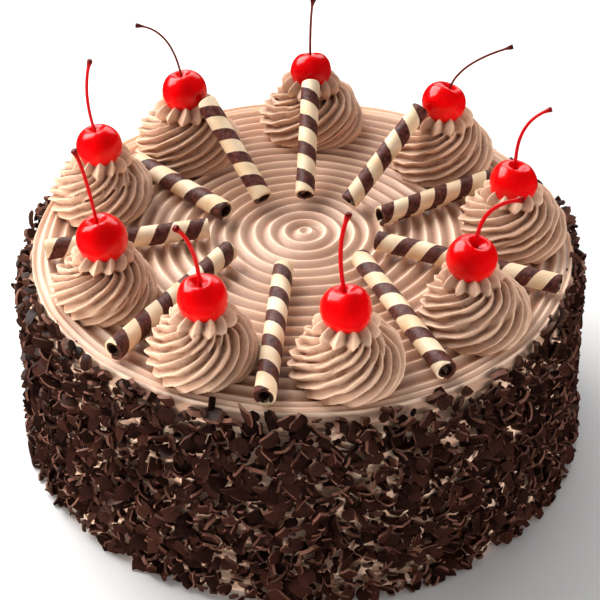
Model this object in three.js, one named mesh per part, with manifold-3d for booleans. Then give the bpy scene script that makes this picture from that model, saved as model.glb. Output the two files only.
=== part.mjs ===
// A round black forest cake, finished as a baker does it: a tall cake in chocolate cream with a combed top, its side
// pressed full of chocolate flakes, and on top a ring of nine piped rosettes with a stemmed cherry each, and ten
// striped wafer rolls lying between the rosettes or leaning on them.
// Millimetres, +Z up. The origin is the centre of the underside. The front is towards -Y.
import * as THREE from "three";
import { mergeVertices } from "three/addons/utils/BufferGeometryUtils.js";
import Module from "manifold-3d";

const wasm = await Module();
wasm.setup();

// ---------------------------------------------------------------- driving dimensions

const CAKE_HEIGHT = 97; // to the crests of the combed top
const RIM_RADIUS = 120; // the outermost combed crest
const SIDE_RADIUS_TOP = 122; // cream wall under the flakes
const SIDE_RADIUS_FOOT = 127;
const TOUCH_GAP = 0.3; // pieces that touch keep this much air

const COMB = { first: 3, pitch: 6.5, depth: 1.8, crests: 18, centre: [1.5, 4], sides: 30 };

const CRUST = { columns: 56, rows: 8, reach: 4, foot: 1.5, underRim: 3 };
const FLAKE = { count: 100, corners: 4, size: 5.8, thickness: 1.3, sink: 0.2, seed: 11 };
const WIDEST = 134.5; // the flakes that stand out furthest at the front, back, left and right

// the height is a share of the base radius
const ROSETTE = { ridges: 12, ridgeDepth: 0.12, twist: 1.5, height: 1.03, notch: 3 };
// polar angle (degrees), distance from the middle, base radius
const ROSETTES = [
  [359.9, 93.9, 24.8],
  [42.9, 91, 25.4],
  [87, 94.5, 26.3],
  [128, 91.5, 26.2],
  [163.9, 95.8, 24.6],
  [208.6, 95.4, 23.2],
  [245.8, 96.4, 23.6],
  [280.9, 96.5, 24],
  [318.5, 94.6, 23.7],
];

// the seat is a share of the rosette's base radius, above the top of the cake
const CHERRY = { seat: 1.25, foot: 0.45, sides: 11, stemRadius: 0.8, knobRadius: 1.5, knobLength: 4.5 };
// radius, shift on its rosette [x, y, z], lean [to +X, to -Y] in degrees,
// stem: its bend and its tip, both [x, y, z] from its root
const CHERRIES = [
  [10.5, [-1.7, -1.5, -2.8], [8, -6], [-3.2, 2, 22.7], [12.9, 3, 27.5]],
  [10.3, [0, 0.2, 0.4], [25, -8], [0.3, 0, 13.6], [27.5, 2, 21.1]],
  [9.8, [-0.5, -0.1, -0.9], [-3, -20], [-0.2, 0, 20.8], [1.5, 0, 30.3]],
  [10.6, [0.6, -0.2, 0.4], [-9, -8], [-2.7, 0, 25.7], [-19.8, 0, 26.5]],
  [10.3, [0.7, 0, -0.3], [-12, -8], [-4.5, 0, 19.3], [1, 0, 35.7]],
  [10.8, [1.2, 0.5, 0.4], [-14, -8], [-2.2, 0, 26.8], [-6, 0, 34.7]],
  [10.1, [0.7, 0.7, 0.8], [-8, 0], [0.6, -5, 23.1], [-6.6, -12, 34.5]],
  [10.2, [-1, 0.4, 0.5], [-5, -15], [-4.7, 0, 20.5], [0.7, 0, 36.2]],
  [10.2, [-2.5, 1.1, 1.1], [14, 4], [-1.5, 0, 21.2], [16.6, 0, 21.6]],
];

const WAFER = { radius: 4.9, bore: 2.8, sides: 14 };
// inner end, outer end [x, y], and the height of the outer end's axis over the top where it leans on a rosette
const WAFERS = [
  [[35.2, 7.3], [87.7, 38]],
  [[22, 20.1], [55.5, 54.2], 33],
  [[1.6, 26.1], [4.6, 79.4], 32.5],
  [[-17.5, 23.2], [-44.6, 63.5], 32.2],
  [[-34.5, 11.6], [-77.7, 54.3]],
  [[-42, -1.2], [-112.2, -18.2]],
  [[-31.9, -19], [-75.6, -87.8]],
  [[-8.2, -32.4], [-14.7, -116.5]],
  [[25.1, -25.2], [56.3, -101.2]],
  [[33, -12.3], [109, -45]],
];

// ---------------------------------------------------------------- materials

const creamFinish = new THREE.MeshStandardMaterial({ color: 0xc49a7c, roughness: 0.55, metalness: 0 });
const flakedCream = new THREE.MeshStandardMaterial({ color: 0x4a2d24, roughness: 0.5, metalness: 0 });
const cherryRed = new THREE.MeshStandardMaterial({ color: 0xe00018, roughness: 0.15, metalness: 0 });
const wafer = new THREE.MeshStandardMaterial({ color: 0xe3c08a, roughness: 0.6, metalness: 0 });

// ---------------------------------------------------------------- helpers

const degrees = THREE.MathUtils.degToRad;
const Z = new THREE.Vector3(0, 0, 1);

function seededRandom(seed) {
  let state = seed;
  return () => {
    state = (state + 0x6d2b79f5) | 0;
    let t = Math.imul(state ^ (state >>> 15), 1 | state);
    t = (t + Math.imul(t ^ (t >>> 7), 61 | t)) ^ t;
    return ((t ^ (t >>> 14)) >>> 0) / 4294967296;
  };
}

const polar = (radius, angle, z) => new THREE.Vector3(radius * Math.cos(angle), radius * Math.sin(angle), z);

// A closed skin over rings of equally many points, each turning left round the way the rings go.
// Its ends close on the rings' own middles.
function loft(rings) {
  const n = rings[0].length;
  const middle = (ring) => ring.reduce((sum, p) => sum.clone().add(p), new THREE.Vector3()).divideScalar(n);
  const points = [...rings.flat(), middle(rings[0]), middle(rings.at(-1))];
  const first = points.length - 2;
  const last = points.length - 1;
  const top = (rings.length - 1) * n;
  const index = [];
  for (let i = 0; i < n; i++) {
    const j = (i + 1) % n;
    for (let k = 0; k < top; k += n) index.push(k + i, k + j, k + n + j, k + i, k + n + j, k + n + i);
    index.push(first, j, i, last, top + i, top + j);
  }
  return new THREE.BufferGeometry().setFromPoints(points).setIndex(index);
}

function solidOf(geometry) {
  const bare = geometry.clone();
  bare.deleteAttribute("normal");
  bare.deleteAttribute("uv");
  const merged = mergeVertices(bare, 1e-4);
  return new wasm.Manifold(
    new wasm.Mesh({
      numProp: 3,
      vertProperties: new Float32Array(merged.attributes.position.array),
      triVerts: new Uint32Array(merged.index.array),
    }),
  );
}

function meshOf(name, solid, material) {
  const { vertProperties, triVerts } = solid.getMesh();
  const geometry = new THREE.BufferGeometry()
    .setAttribute("position", new THREE.BufferAttribute(vertProperties, 3))
    .setIndex(new THREE.BufferAttribute(triVerts, 1));
  geometry.computeVertexNormals();
  const mesh = new THREE.Mesh(geometry, material);
  mesh.name = name;
  return mesh;
}

// ---------------------------------------------------------------- the cake

// The core: a plain underside and side, and combed rings on top whose common middle lies a little behind the axis.
function combedCore() {
  const ring = (radius, z) => {
    const inwards = 1 - Math.min(1, radius / RIM_RADIUS);
    const shift = new THREE.Vector3(COMB.centre[0] * inwards, COMB.centre[1] * inwards, 0);
    return Array.from({ length: COMB.sides }, (_, i) =>
      polar(radius, (2 * Math.PI * i) / COMB.sides, z).add(shift),
    );
  };
  const rings = [ring(SIDE_RADIUS_FOOT, 0), ring(SIDE_RADIUS_TOP, CAKE_HEIGHT - COMB.depth), ring(RIM_RADIUS, CAKE_HEIGHT)];
  for (let crest = COMB.crests - 1; crest >= 0; crest--) {
    const radius = COMB.first + crest * COMB.pitch;
    rings.push(ring(radius + COMB.pitch / 2, CAKE_HEIGHT - COMB.depth), ring(radius, CAKE_HEIGHT));
  }
  rings.push(ring(COMB.first / 3, CAKE_HEIGHT - COMB.depth));
  return solidOf(loft(rings));
}

const wallRadius = (z) => THREE.MathUtils.mapLinear(z, 0, CAKE_HEIGHT, SIDE_RADIUS_FOOT, SIDE_RADIUS_TOP);

// The crust that the smaller flakes make: a belt of uneven bumps, each the size of a flake.
function flakeCrust() {
  const random = seededRandom(FLAKE.seed);
  const top = CAKE_HEIGHT - CRUST.underRim;
  const inside = RIM_RADIUS - 15;
  const ring = (radius, z) =>
    Array.from({ length: CRUST.columns }, (_, i) => polar(radius, (2 * Math.PI * i) / CRUST.columns, z));
  const rings = [ring(inside, CRUST.foot)];
  for (let row = 0; row <= CRUST.rows; row++) {
    const edge = row === 0 || row === CRUST.rows;
    const z = THREE.MathUtils.lerp(CRUST.foot, top, row / CRUST.rows);
    rings.push(
      ring(1, 0).map((_, i) => {
        const angle = (2 * Math.PI * (i + (row % 2) / 2 + 0.5 * (random() - 0.5))) / CRUST.columns;
        const lift = edge ? random() * 1.5 : (random() - 0.5) * 5;
        const out = edge ? 1 + random() : 1 + (CRUST.reach - 1) * random();
        return polar(wallRadius(z) + out, angle, z + (row === CRUST.rows ? -lift : lift));
      }),
    );
  }
  rings.push(ring(inside, top));
  return solidOf(loft(rings));
}

// One flake: a thin uneven plate, standing on its own middle.
function flake(random, size) {
  const outline = new THREE.Shape(
    Array.from({ length: FLAKE.corners }, (_, i) => {
      const angle = (2 * Math.PI * (i + 0.5 * random())) / FLAKE.corners;
      const reach = size * (0.75 + 0.5 * random());
      return new THREE.Vector2(reach * Math.cos(angle), 0.75 * reach * Math.sin(angle));
    }),
  );
  return new THREE.ExtrudeGeometry(outline, { depth: FLAKE.thickness, bevelEnabled: false, steps: 1 });
}

// The larger flakes, spread evenly over the side from the foot to the rim, each turned and tilted its own way.
function flakes() {
  const random = seededRandom(FLAKE.seed + 1);
  const golden = Math.PI * (3 - Math.sqrt(5));
  const made = [];
  for (let i = 0; i < FLAKE.count; i++) {
    const along = (i + 0.5) / FLAKE.count;
    const size = FLAKE.size * (0.85 + 0.4 * random());
    const z = THREE.MathUtils.lerp(size + 0.6, CAKE_HEIGHT - 1.1 * size, along);
    const tilt = (random() < 0.5 ? -1 : 1) * (0.35 + 0.55 * random());
    made.push({ angle: i * golden, z, size, tilt });
  }
  // one flake on each side reaches the full width
  for (const quarter of [0, 1, 2, 3]) {
    const z = (0.25 + 0.05 * quarter) * CAKE_HEIGHT;
    made.push({ angle: (quarter * Math.PI) / 2, z, size: 1.35 * FLAKE.size, tilt: Math.PI / 2.2, widest: true });
  }
  return made.map(({ angle, z, size, tilt, widest }) => {
    const plate = flake(random, size).rotateZ(random() * 2 * Math.PI).rotateX(tilt).rotateY(0.4 * random());
    // until here the plate lies flat on a wall that faces +Z; now that wall faces outwards and the plate digs into it
    plate.computeBoundingBox();
    const { min, max } = plate.boundingBox;
    const dugIn = widest ? Infinity : wallRadius(z) - FLAKE.sink - min.z;
    plate.translate(0, 0, Math.min(dugIn, WIDEST - max.z));
    plate.applyMatrix4(new THREE.Matrix4().makeBasis(polar(1, angle + Math.PI / 2, 0), Z, polar(1, angle, 0)));
    return solidOf(plate.translate(0, 0, z));
  });
}

function cake() {
  return flakes().reduce((whole, piece) => whole.add(piece), combedCore().add(flakeCrust()));
}

// ---------------------------------------------------------------- rosettes

// the outside of the swirl from its foot to its crown, as shares of its height and of its base radius
const ROSETTE_OUTLINE = [
  [0, 0.88],
  [0.2, 1],
  [0.42, 0.93],
  [0.62, 0.82],
  [0.84, 0.69],
  [1, 0.56],
];

// Twelve ridges that climb round the swirl, and in its crown a dish for the cherry, which draws the crown towards it.
function rosette(i) {
  const [angle, distance, radius] = ROSETTES[i];
  const base = polar(distance, degrees(angle), CAKE_HEIGHT + TOUCH_GAP);
  const crown = ROSETTE.height * radius;
  const seat = cherryCentre(i).sub(base);
  const ring = (height, width, grooves) =>
    Array.from({ length: 2 * ROSETTE.ridges }, (_, k) => {
      const turned = (Math.PI * k) / ROSETTE.ridges + (ROSETTE.twist * height) / crown;
      const groove = grooves && k % 2 ? 1 - ROSETTE.ridgeDepth * (1 + height / crown) : 1;
      const share = Math.min(1, height / crown) ** 2;
      return polar(width * groove, turned, height).add(new THREE.Vector3(seat.x * share, seat.y * share, 0));
    });
  const rings = ROSETTE_OUTLINE.map(([up, across]) => ring(up * crown, across * radius, true));
  rings.at(-1).forEach((point, k) => (point.z -= k % 2 ? ROSETTE.notch : 0));
  const hollow = CHERRIES[i][0] + 4 * TOUCH_GAP;
  const bottom = ring(seat.z, hollow * Math.sin(CHERRY.foot), false);
  bottom.forEach((point) => (point.z -= hollow * Math.cos(CHERRY.foot)));
  return solidOf(loft([...rings, bottom])).translate(base.toArray());
}

// ---------------------------------------------------------------- cherries

// The fruit's outline from its foot to the dimple round the stem, as shares of its radius: [across, up].
const CHERRY_OUTLINE = [
  [0.4, -0.88],
  [0.82, -0.56],
  [1, 0],
  [0.9, 0.5],
  [0.5, 0.86],
  [0.14, 0.68],
];

function sweep(path, radiusAt, sides, steps) {
  const frames = path.computeFrenetFrames(steps, false);
  const rings = Array.from({ length: steps + 1 }, (_, k) =>
    Array.from({ length: sides }, (_, i) => {
      const angle = (2 * Math.PI * i) / sides;
      const radius = radiusAt(k / steps);
      return path
        .getPointAt(k / steps)
        .addScaledVector(frames.normals[k], radius * Math.cos(angle))
        .addScaledVector(frames.binormals[k], radius * Math.sin(angle));
    }),
  );
  return loft(rings);
}

function cherryCentre(i) {
  const [angle, distance, radius] = ROSETTES[i];
  const shift = new THREE.Vector3(...CHERRIES[i][1]);
  return polar(distance, degrees(angle), CAKE_HEIGHT + CHERRY.seat * radius).add(shift);
}

function cherryLean(i) {
  const [toRight, toFront] = CHERRIES[i][2].map(degrees);
  const up = new THREE.Vector3(Math.sin(toRight), -Math.sin(toFront), Math.cos(toRight) * Math.cos(toFront));
  return new THREE.Quaternion().setFromUnitVectors(Z, up.normalize());
}

function cherry(i) {
  const [radius, , , bend, tip] = CHERRIES[i];
  const fruit = loft(
    CHERRY_OUTLINE.map(([across, up]) =>
      Array.from({ length: CHERRY.sides }, (_, k) =>
        polar(across * radius, (2 * Math.PI * k) / CHERRY.sides, up * radius),
      ),
    ),
  ).applyQuaternion(cherryLean(i));
  const root = new THREE.Vector3(0, 0, 0.5 * radius).applyQuaternion(cherryLean(i));
  const dimple = new THREE.Vector3(0, 0, 0.72 * radius).applyQuaternion(cherryLean(i));
  const path = new THREE.CatmullRomCurve3([
    root,
    dimple,
    ...new THREE.QuadraticBezierCurve3(
      dimple,
      new THREE.Vector3(...bend).add(dimple),
      new THREE.Vector3(...tip).add(dimple),
    )
      .getPoints(5)
      .slice(1),
  ]);
  const knob = 1 - CHERRY.knobLength / path.getLength();
  const thickness = (t) =>
    t <= knob ? CHERRY.stemRadius : THREE.MathUtils.mapLinear(t, knob, 1, CHERRY.stemRadius, CHERRY.knobRadius);
  const stem = sweep(path, thickness, 5, 7);
  return solidOf(fruit).add(solidOf(stem)).translate(cherryCentre(i).toArray());
}

// ---------------------------------------------------------------- wafer rolls

// A tube from its inner end to its outer end. One that leans stands on the lower edge of its inner end.
function roll([inner, outer, leanHeight = WAFER.radius], radius, bore, spare = 0) {
  const run = Math.hypot(outer[0] - inner[0], outer[1] - inner[1]);
  const lean = Math.atan2(leanHeight - WAFER.radius, run);
  const from = new THREE.Vector3(...inner, CAKE_HEIGHT + TOUCH_GAP + WAFER.radius * Math.cos(lean));
  const to = new THREE.Vector3(...outer, CAKE_HEIGHT + TOUCH_GAP + leanHeight);
  const length = from.distanceTo(to);
  const profile = bore
    ? [[bore, 0], [radius, 0], [radius, length], [bore, length], [bore, 0]]
    : [[0, -spare], [radius, -spare], [radius, length + spare], [0, length + spare]];
  const tube = new THREE.LatheGeometry(profile.map(([x, y]) => new THREE.Vector2(x, y)), WAFER.sides);
  const along = to.sub(from).normalize();
  tube.applyQuaternion(new THREE.Quaternion().setFromUnitVectors(new THREE.Vector3(0, 1, 0), along));
  return solidOf(tube).translate(from.toArray());
}

const waferRoll = (place) => roll(place, WAFER.radius, WAFER.bore);
const waferPress = (place) => roll(place, WAFER.radius + TOUCH_GAP, 0, TOUCH_GAP);

// ---------------------------------------------------------------- the whole

const group = new THREE.Group();
group.add(meshOf("cake", cake(), flakedCream));

ROSETTES.forEach((_, i) => {
  const swirl = WAFERS.reduce((cream, place) => cream.subtract(waferPress(place)), rosette(i));
  group.add(meshOf(`rosette_${i + 1}`, swirl, creamFinish));
  group.add(meshOf(`cherry_${i + 1}`, cherry(i), cherryRed));
});

WAFERS.forEach((place, i) => group.add(meshOf(`wafer_roll_${i + 1}`, waferRoll(place), wafer)));

export default group;
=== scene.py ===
"""A whole black forest cake: combed chocolate cream, flakes, piped rosettes, cherries and wafer rolls.

Lengths are in millimetres and angles in radians unless a name or comment says otherwise.
MM turns millimetres into the frame's metres. The front is towards -Y.
"""
import math
from collections import namedtuple

import bpy
import numpy as np
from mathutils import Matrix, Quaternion, Vector


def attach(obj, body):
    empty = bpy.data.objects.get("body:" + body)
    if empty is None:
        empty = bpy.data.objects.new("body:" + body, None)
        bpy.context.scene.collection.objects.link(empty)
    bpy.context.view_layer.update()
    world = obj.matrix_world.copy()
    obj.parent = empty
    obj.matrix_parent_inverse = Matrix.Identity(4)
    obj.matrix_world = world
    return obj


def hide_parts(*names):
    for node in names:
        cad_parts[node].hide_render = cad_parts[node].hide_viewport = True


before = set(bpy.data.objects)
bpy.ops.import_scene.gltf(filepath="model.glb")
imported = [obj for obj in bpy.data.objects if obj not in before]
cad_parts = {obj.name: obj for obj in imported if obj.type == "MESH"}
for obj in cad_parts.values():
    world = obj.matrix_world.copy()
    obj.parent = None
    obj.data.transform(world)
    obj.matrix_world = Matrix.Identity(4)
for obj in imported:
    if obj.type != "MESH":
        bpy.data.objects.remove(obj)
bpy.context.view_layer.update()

MM = 0.001
TAU = 2 * math.pi
GOLDEN_ANGLE = math.pi * (3 - math.sqrt(5))
UP = Vector((0, 0, 1))

# ---------------------------------------------------------------- driving dimensions

CAKE_HEIGHT = 97
RIM_RADIUS = 120
# the cream wall under the flakes
SIDE_RADIUS_TOP = 122
SIDE_RADIUS_FOOT = 127
# how far out the furthest flakes of the solid cake stand
WIDEST = 134.5

# the circles of the comb: their centre, the innermost crest, the distance between crests, and the depth
COMB_CENTRE = (1.5, 4)
COMB_FIRST = 3
COMB_PITCH = 6.5
COMB_DEPTH = 2.3
# where a crest has dropped to half its height, as a share of the pitch
CREST_WIDTH = 0.19
# the dimple inside the innermost crest, and the two shallow grooves at the rim
DIMPLE_DEPTH = 1.6
RIM_GROOVE_DEPTH = 1.5

# the side's cream ends this far under the crests
SHOULDER_DROP = 7
# the smooth shoulder over it: distance from the axis, and height
SHOULDER = [(122, 91), (122, 91.9), (121.6, 93), (121, 94.1), (120.4, 94.85)]
# the shoulder's painted tone, where 0 is the painted shade of a comb's trough and 1 the painted light of a
# crest
SHOULDER_PAINTED_TONE = 0.3

# polar angle (degrees), distance from the middle, base radius, where the piping starts (degrees),
# how far it goes round (turns), how the nozzle's star turns with it, as a share, and the ridges it leaves
Rosette = namedtuple("Rosette", "angle distance radius start turns twist ridges")
ROSETTES = [
    Rosette(359.9, 93.9, 24.8, 150, 2.1, 0.0, 12),
    Rosette(42.9, 91, 25.4, 40, 2.2, 0.0, 13),
    Rosette(87, 94.5, 26.3, 250, 2.0, 0.0, 13),
    Rosette(128, 91.5, 26.2, 120, 2.15, 0.0, 13),
    Rosette(163.9, 95.8, 24.6, 330, 2.1, -0.2, 12),
    Rosette(208.6, 95.4, 23.2, 200, 2.05, -0.45, 11),
    Rosette(245.8, 96.4, 23.6, 285, 2.1, -0.45, 11),
    Rosette(280.9, 96.5, 24, 310, 2.2, -0.45, 11),
    Rosette(318.5, 94.6, 23.7, 90, 2.0, -0.3, 11),
]
# a share of the base radius
ROSETTE_HEIGHT = 1.03

# the cherry's centre over the top of the cake, as a share of its rosette's base radius
CHERRY_SEAT = 1.25
# radius, shift on its rosette (x, y, z), lean (to +X, to -Y) in degrees,
# and the bend and the tip of its stem, both (x, y, z) from the stem's root
Cherry = namedtuple("Cherry", "radius shift lean bend tip")
CHERRIES = [
    Cherry(10.5, (-1.7, -1.5, -2.8), (8, -6), (-3.2, 2, 22.7), (12.9, 3, 27.5)),
    Cherry(10.3, (0, 0.2, 0.4), (25, -8), (0.3, 0, 13.6), (27.5, 2, 21.1)),
    Cherry(9.8, (-0.5, -0.1, -0.9), (-3, -20), (-0.2, 0, 20.8), (1.5, 0, 30.3)),
    Cherry(10.6, (0.6, -0.2, 0.4), (-9, -8), (-2.7, 0, 25.7), (-19.8, 0, 26.5)),
    Cherry(10.3, (0.7, 0, -0.3), (-12, -8), (-4.5, 0, 19.3), (1, 0, 35.7)),
    Cherry(10.8, (1.2, 0.5, 0.4), (-14, -8), (-2.2, 0, 26.8), (-6, 0, 34.7)),
    Cherry(10.1, (0.7, 0.7, 0.8), (-8, 0), (0.6, -5, 23.1), (-6.6, -12, 34.5)),
    Cherry(10.2, (-1, 0.4, 0.5), (-5, -15), (-4.7, 0, 20.5), (0.7, 0, 36)),
    Cherry(10.2, (-2.5, 1.1, 1.1), (14, 4), (-1.5, 0, 21.2), (16.6, 0, 21.6)),
]
STEM_RADIUS = 0.8
STEM_KNOB_RADIUS = 1.6
STEM_KNOB_LENGTH = 4.5
# how much thicker the stem is at its foot, as a share, and over which length
STEM_FOOT_THICKER = 0.3
STEM_FOOT_LENGTH = 4
# the stems at the back have dried thinner and browner
DRY_STEMS = (1, 2, 3)
DRY_STEM_SHARE = 0.68

WAFER_RADIUS = 4.9
# the rolled sheet: how many turns it makes, the distance between its layers,
# and its thickness as a share of that distance
WAFER_LAYERS = 2
WAFER_LAYER_PITCH = 0.95
WAFER_SHEET_SHARE = 0.86
# the dark stripe's share of the stripes' pitch
WAFER_STRIPE_SHARE = 0.47
# inner end, outer end (x, y), height of the outer end's axis over the top where it leans,
# pitch of the stripe, and where it starts, in turns
Wafer = namedtuple("Wafer", "inner outer lean pitch phase")
WAFERS = [
    Wafer((35.2, 7.3), (87.7, 38), None, 14.5, 0.38),
    Wafer((22, 20.1), (55.5, 54.2), 33, 14.25, 0.74),
    Wafer((1.6, 26.1), (4.6, 79.4), 32.5, 14.75, 0.25),
    Wafer((-17.5, 23.2), (-44.6, 63.5), 32.2, 13.25, 0.17),
    Wafer((-34.5, 11.6), (-77.7, 54.3), None, 17.5, 0.96),
    Wafer((-42, -1.2), (-112.2, -18.2), None, 14.75, 0.35),
    Wafer((-31.9, -19), (-75.6, -87.8), None, 14.75, 0.48),
    Wafer((-8.2, -32.4), (-14.7, -116.5), None, 16, 0.28),
    Wafer((25.1, -25.2), (56.3, -101.2), None, 16, 0.91),
    Wafer((33, -12.3), (109, -45), None, 13.6, 0.64),
]
# how high the rolls lie over the comb's crests
TOUCH_GAP = 0.3

# number of plates, seed, points across and along a plate, its length, its width as a share of the length,
# how far it tips out of the wall's plane, its thickness, nearest and furthest place out of the wall,
# and the share of the front's plates that lie along the rim
Flakes = namedtuple("Flakes", "plates seed across along size slimness tipping thickness depth rim_share")
FLAKES = {
    "large_flakes": Flakes(2350, 1, 4, 4, 6.8, 1, 0.6, 1.7, (0.2, 5.2), 0.05),
    "small_flakes": Flakes(3600, 2, 3, 3, 3.8, 1, 0.8, 1.2, (0.2, 4), 0.03),
    "flake_shards": Flakes(420, 3, 3, 4, 8, 0.3, 1.0, 1.5, (2.5, 6), 0.04),
}
# the centres of the flakes on the side start this far under the crests, and end this far over the table
FLAKES_DROP = 5.8
FLAKES_FOOT = 0.3
# under this height the flakes stand out further, by up to this much at the table
FOOT_SPREAD_HEIGHT = 14
FOOT_SPREAD = 2.5
# the flakes along the rim: how far they lie under the crests and from the axis, and how much thicker they are
RIM_FLAKE_DROP = (0.6, 4.6)
RIM_FLAKE_RADIUS = (121.6, 124)
RIM_FLAKE_THICKER = 1.5
# they lie where the side faces the front by more than this, from -1 at the back to 1 at the front
RIM_FLAKE_FACING = -0.3
# a flake that rises nearer to the crests' height than this keeps this far away from the rosettes' feet
NEAR_CRESTS = 1
ROSETTE_CLEARANCE = 2.5

# ---------------------------------------------------------------- mesh helpers

RIPPLE_WAVES = 10


def ripple(points, size, wavelength, seed):
    """Smooth seeded unevenness at each point, mostly within the size on either side of 0."""
    random = np.random.default_rng(seed)
    directions = random.normal(size=(RIPPLE_WAVES, 3))
    directions *= TAU / wavelength / np.linalg.norm(directions, axis=1, keepdims=True)
    phases = random.uniform(0, TAU, RIPPLE_WAVES)
    return size * (np.sin(points @ directions.T + phases).sum(axis=-1) / math.sqrt(RIPPLE_WAVES))


def polar(radius, angle, z):
    """Points at the given distances from the axis, angles and heights."""
    return np.stack([radius * np.cos(angle), radius * np.sin(angle), z + 0 * angle], axis=-1)


def unit(vectors):
    """Each row's direction, with length 1."""
    return vectors / np.linalg.norm(vectors, axis=1, keepdims=True)


def round_angles(columns):
    """Equal steps once round."""
    return np.arange(columns) * TAU / columns


def turned(points, axis, angle):
    """Points turned about an axis through the origin."""
    return points @ np.array(Quaternion(axis, angle).to_matrix()).T


def upright_to(direction):
    """The shortest turn that takes +Z to a direction, as a matrix."""
    return np.array(UP.rotation_difference(Vector(direction)).to_matrix())


def grid_faces(rows, columns):
    """Quads that join rows of equally many points, each row closed on itself."""
    row = np.arange(rows - 1)[:, None] * columns
    column = np.arange(columns)[None, :]
    following = (column + 1) % columns
    corners = [row + column, row + following, row + columns + following, row + columns + column]
    return np.stack(corners, axis=-1).reshape(-1, 4).tolist()


def closed_skin(rings):
    """Points and faces of a closed skin over rings of points, shaped (rings, columns, 3)."""
    rows, columns, _ = rings.shape
    points = np.vstack([rings.reshape(-1, 3), rings[0].mean(axis=0), rings[-1].mean(axis=0)])
    first, last = rows * columns, rows * columns + 1
    top = (rows - 1) * columns
    faces = grid_faces(rows, columns)
    for column in range(columns):
        following = (column + 1) % columns
        faces.append([first, following, column])
        faces.append([last, top + column, top + following])
    return points, faces


def make_piece(name, points, faces, materials, node, sharp_degrees=None):
    """A mesh object of points in millimetres that rides on the part and stands for the given CAD node."""
    mesh = bpy.data.meshes.new(name)
    mesh.from_pydata((np.asarray(points) * MM).tolist(), [], faces)
    mesh.shade_smooth()
    if sharp_degrees:
        mesh.set_sharp_from_angle(angle=math.radians(sharp_degrees))
    piece = bpy.data.objects.new(name, mesh)
    bpy.context.scene.collection.objects.link(piece)
    for material in materials:
        mesh.materials.append(material)
    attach(piece, "root")
    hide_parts(node)
    return piece


def write_attribute(piece, name, values):
    """Keeps one value at each point for the material to read."""
    piece.data.attributes.new(name, "FLOAT", "POINT").data.foreach_set("value", values)


def write_uv(piece, u, v):
    """Keeps a UV map with the given two values at each point."""
    corners = np.array([loop.vertex_index for loop in piece.data.loops])
    layer = piece.data.uv_layers.new(name="UVMap")
    layer.data.foreach_set("uv", np.stack([u[corners], v[corners]], axis=-1).ravel())


# ---------------------------------------------------------------- material helpers


def linear(value):
    """The linear share of light for a usual colour value from 0 to 255."""
    share = value / 255
    if share < 0.04045:
        return share / 12.92
    return ((share + 0.055) / 1.055) ** 2.4


def srgb(red, green, blue):
    """A linear colour from the usual 0 to 255 values."""
    return linear(red), linear(green), linear(blue)


def wide(colour):
    """A colour, or a plain number as a grey, with its alpha."""
    return (*colour, 1) if isinstance(colour, tuple) else (colour, colour, colour, 1)


class Surface:
    """A principled material with a few shorthands for its nodes.

    Colours are linear. The scale of a noise is roughly how many of its bumps lie along a metre.
    """

    def __init__(self, name):
        self.material = bpy.data.materials.new(name)
        self.material.use_nodes = True
        self.tree = self.material.node_tree
        self.shader = self.tree.nodes["Principled BSDF"]

    def node(self, kind, **settings):
        made = self.tree.nodes.new(kind)
        for key, value in settings.items():
            setattr(made, key, value)
        return made

    def link(self, source, target):
        self.tree.links.new(source, target)

    def feed(self, value, socket):
        """Links a node's output to a socket, or sets the socket to a plain value."""
        if isinstance(value, bpy.types.NodeSocket):
            self.link(value, socket)
        elif isinstance(value, tuple):
            socket.default_value = (*value, 1)
        else:
            socket.default_value = value

    def place(self):
        return self.node("ShaderNodeTexCoord").outputs["Object"]

    def attribute(self, name):
        return self.node("ShaderNodeAttribute", attribute_name=name).outputs["Fac"]

    def uv(self):
        """The two values of the UV map."""
        split = self.node("ShaderNodeSeparateXYZ")
        self.link(self.node("ShaderNodeUVMap", uv_map="UVMap").outputs["UV"], split.inputs[0])
        return split.outputs["X"], split.outputs["Y"]

    def noise(self, scale, detail=3, roughness=0.5):
        made = self.node("ShaderNodeTexNoise")
        made.inputs["Scale"].default_value = scale
        made.inputs["Detail"].default_value = detail
        made.inputs["Roughness"].default_value = roughness
        self.link(self.place(), made.inputs["Vector"])
        return made.outputs["Fac"]

    def ramp(self, factor, *stops):
        """A colour or grey that follows a factor through (position, value) stops."""
        made = self.node("ShaderNodeValToRGB")
        elements = made.color_ramp.elements
        while len(elements) < len(stops):
            elements.new(0.5)
        for element, (position, colour) in zip(elements, stops):
            element.position = position
            element.color = wide(colour)
        self.link(factor, made.inputs["Fac"])
        return made.outputs["Color"]

    def mix(self, factor, a, b):
        made = self.node("ShaderNodeMix", data_type="RGBA")
        sockets = {"Factor": factor, "A": a, "B": b}
        for socket in made.inputs:
            if socket.name in sockets and socket.enabled:
                self.feed(sockets[socket.name], socket)
        return next(socket for socket in made.outputs if socket.enabled)

    def math(self, operation, *values):
        made = self.node("ShaderNodeMath", operation=operation)
        for socket, value in zip(made.inputs, values):
            self.feed(value, socket)
        return made.outputs[0]

    def bump(self, height, distance_mm, under=None):
        made = self.node("ShaderNodeBump")
        made.inputs["Distance"].default_value = distance_mm * MM
        self.link(height, made.inputs["Height"])
        if under:
            self.link(under, made.inputs["Normal"])
        return made.outputs["Normal"]

    def finish(self, colour, roughness, normal=None, **values):
        """Sets the shader, with underscores for the spaces in its inputs' names, and gives the material."""
        self.feed(colour, self.shader.inputs["Base Color"])
        self.feed(roughness, self.shader.inputs["Roughness"])
        if normal:
            self.link(normal, self.shader.inputs["Normal"])
        for name, value in values.items():
            self.shader.inputs[name.replace("_", " ")].default_value = value
        return self.material


# ---------------------------------------------------------------- materials

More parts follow.
